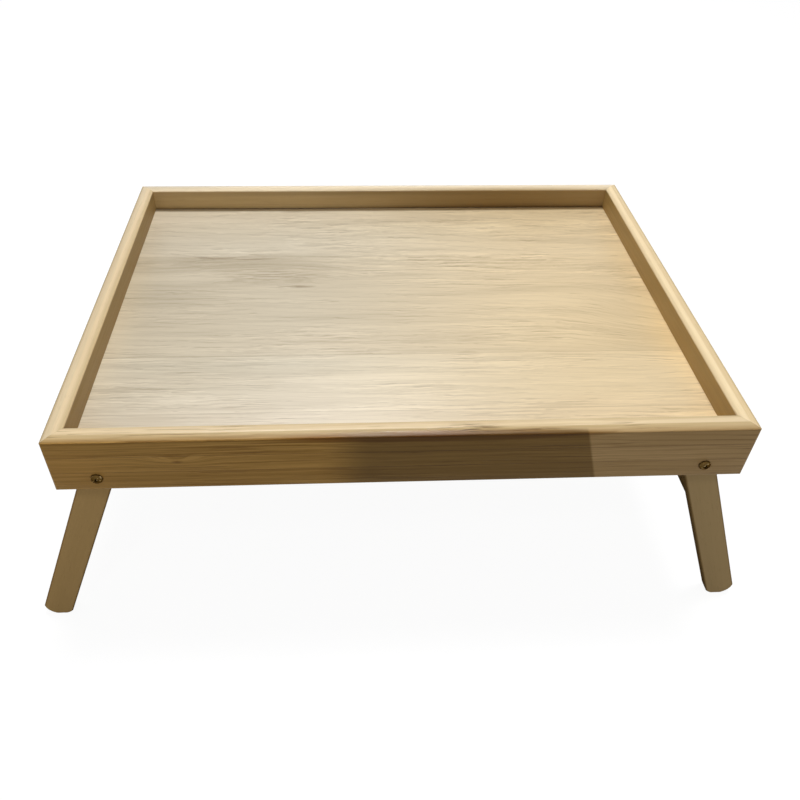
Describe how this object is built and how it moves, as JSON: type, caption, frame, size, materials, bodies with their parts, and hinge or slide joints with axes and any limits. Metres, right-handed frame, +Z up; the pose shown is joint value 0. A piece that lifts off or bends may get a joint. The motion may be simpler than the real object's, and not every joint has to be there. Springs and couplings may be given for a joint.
{
  "type": "bed tray",
  "caption": "Rectangular wooden bed tray: a flat panel framed by raised mitred rails, carried on splayed leg frames that fold flat beneath it.",
  "frame": {"origin": "on the floor under the middle of the tray, at the centre of the bounding box's bottom", "axes": "+X along the tray to its right, +Y to its back, +Z up"},
  "size_m": [0.635, 0.3856, 0.24],
  "materials": {
    "rail_wood": "honey-coloured wood under a thin satin lacquer",
    "panel_veneer": "pale oak veneer under a thin satin lacquer",
    "leg_wood": "smooth honey-brown wood, satin",
    "crossbar_wood": "smooth honey-brown wood, satin",
    "dowel_wood": "bare beech",
    "screw_bronze": "dark antique bronze",
    "washer_nylon": "off-white nylon",
    "nut_zinc": "zinc-plated steel"
  },
  "bodies": {
    "tray": {"front_rail": "rail_wood", "back_rail": "rail_wood", "left_rail": "rail_wood", "right_rail": "rail_wood", "tray_panel": "panel_veneer", "front_left_upper_dowel": "dowel_wood", "front_left_lower_dowel": "dowel_wood", "front_right_upper_dowel": "dowel_wood", "front_right_lower_dowel": "dowel_wood", "back_left_upper_dowel": "dowel_wood", "back_left_lower_dowel": "dowel_wood", "back_right_upper_dowel": "dowel_wood", "back_right_lower_dowel": "dowel_wood", "front_left_pivot_screw": "screw_bronze", "front_right_pivot_screw": "screw_bronze", "back_left_pivot_screw": "screw_bronze", "back_right_pivot_screw": "screw_bronze", "front_left_spacer_washer": "washer_nylon", "front_right_spacer_washer": "washer_nylon", "back_left_spacer_washer": "washer_nylon", "back_right_spacer_washer": "washer_nylon", "front_left_nut_washer": "washer_nylon", "front_right_nut_washer": "washer_nylon", "back_left_nut_washer": "washer_nylon", "back_right_nut_washer": "washer_nylon", "front_left_nut": "nut_zinc", "front_right_nut": "nut_zinc", "back_left_nut": "nut_zinc", "back_right_nut": "nut_zinc"},
    "left_leg_frame": {"front_left_leg": "leg_wood", "back_left_leg": "leg_wood", "left_crossbar": "crossbar_wood"},
    "right_leg_frame": {"front_right_leg": "leg_wood", "back_right_leg": "leg_wood", "right_crossbar": "crossbar_wood"}
  },
  "joints": [
    {"name": "left_leg_fold", "type": "hinge", "parent": "tray", "child": "left_leg_frame", "pos_m": [-0.2272, 0, 0.2015], "axis": [0, -1, 0], "range_deg": [0, 112]},
    {"name": "right_leg_fold", "type": "hinge", "parent": "tray", "child": "right_leg_frame", "pos_m": [0.2272, 0, 0.2015], "axis": [0, 1, 0], "range_deg": [0, 112]}
  ]
}
